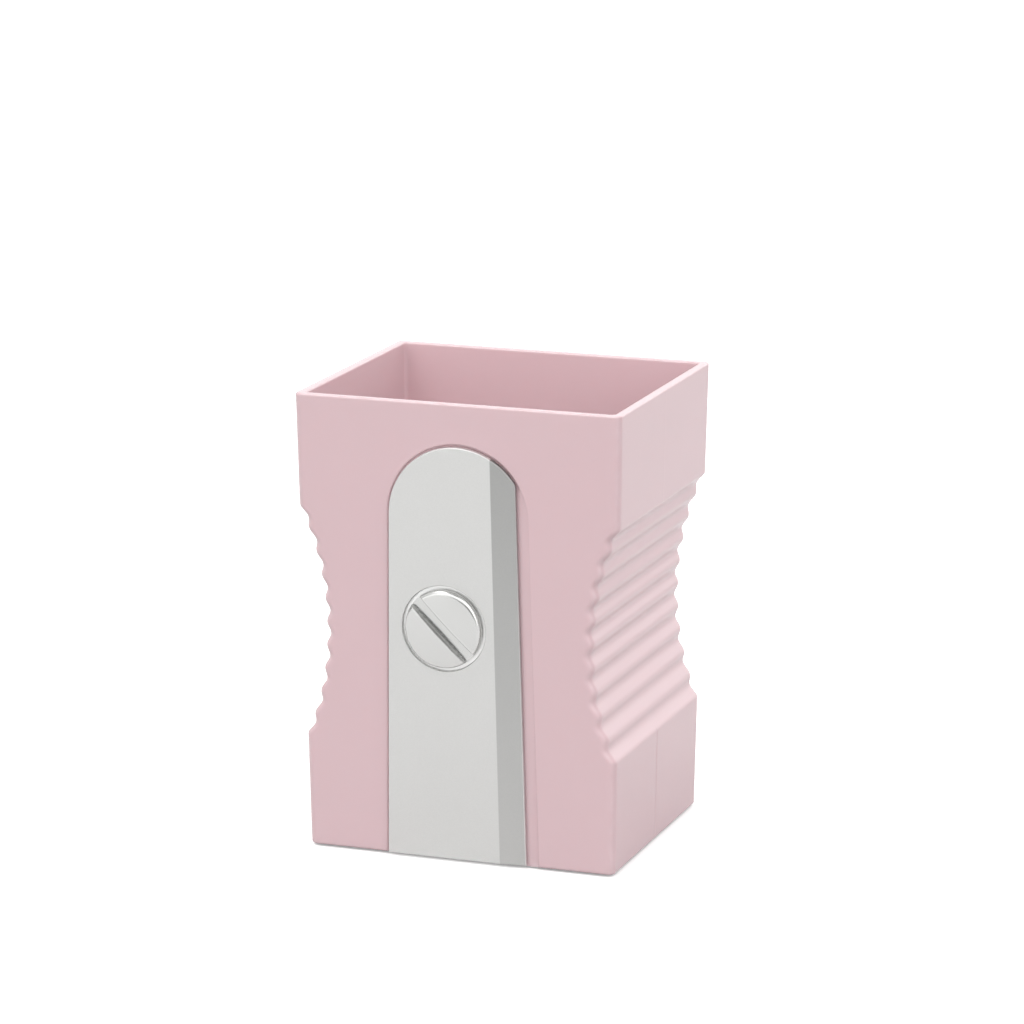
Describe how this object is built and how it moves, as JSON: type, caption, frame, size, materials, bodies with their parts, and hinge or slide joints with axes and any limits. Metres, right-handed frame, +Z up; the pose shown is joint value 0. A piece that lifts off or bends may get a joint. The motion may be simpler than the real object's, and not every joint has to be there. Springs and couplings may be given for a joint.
{
  "type": "pencil pot",
  "caption": "Waisted open-top pencil pot shaped like a block pencil sharpener, with ribbed sides and a bevelled blade plate held by a slotted screw.",
  "frame": {"origin": "middle of the pot's footprint, on the surface that its feet stand on", "axes": "+Z up out of the open mouth, -Y out of the front face that carries the blade plate, +X to the right seen from the front"},
  "size_m": [0.0766, 0.0666, 0.1055],
  "materials": {
    "pink_plastic": "pale pink moulded ABS, satin gloss",
    "base_plastic": "pale pink moulded ABS, satin",
    "satin_silver": "satin silver metallic coating on moulded plastic",
    "bright_silver": "bright silver metallic coating on moulded plastic",
    "spring_steel": "plain spring steel",
    "foot_rubber": "matt off-white rubber"
  },
  "bodies": {
    "pot": {"body_shell": "pink_plastic", "base_plate": "base_plastic", "blade_plate": "satin_silver", "foot_front_left": "foot_rubber", "foot_front_right": "foot_rubber", "foot_back_left": "foot_rubber", "foot_back_right": "foot_rubber"},
    "screw": {"blade_screw": "bright_silver", "screw_clip": "spring_steel"}
  },
  "joints": [
    {"name": "screw_turn", "type": "hinge", "parent": "pot", "child": "screw", "pos_m": [-0.00295, -0.03141, 0.05439], "axis": [0, -0.9997, -0.0233], "continuous": true}
  ]
}
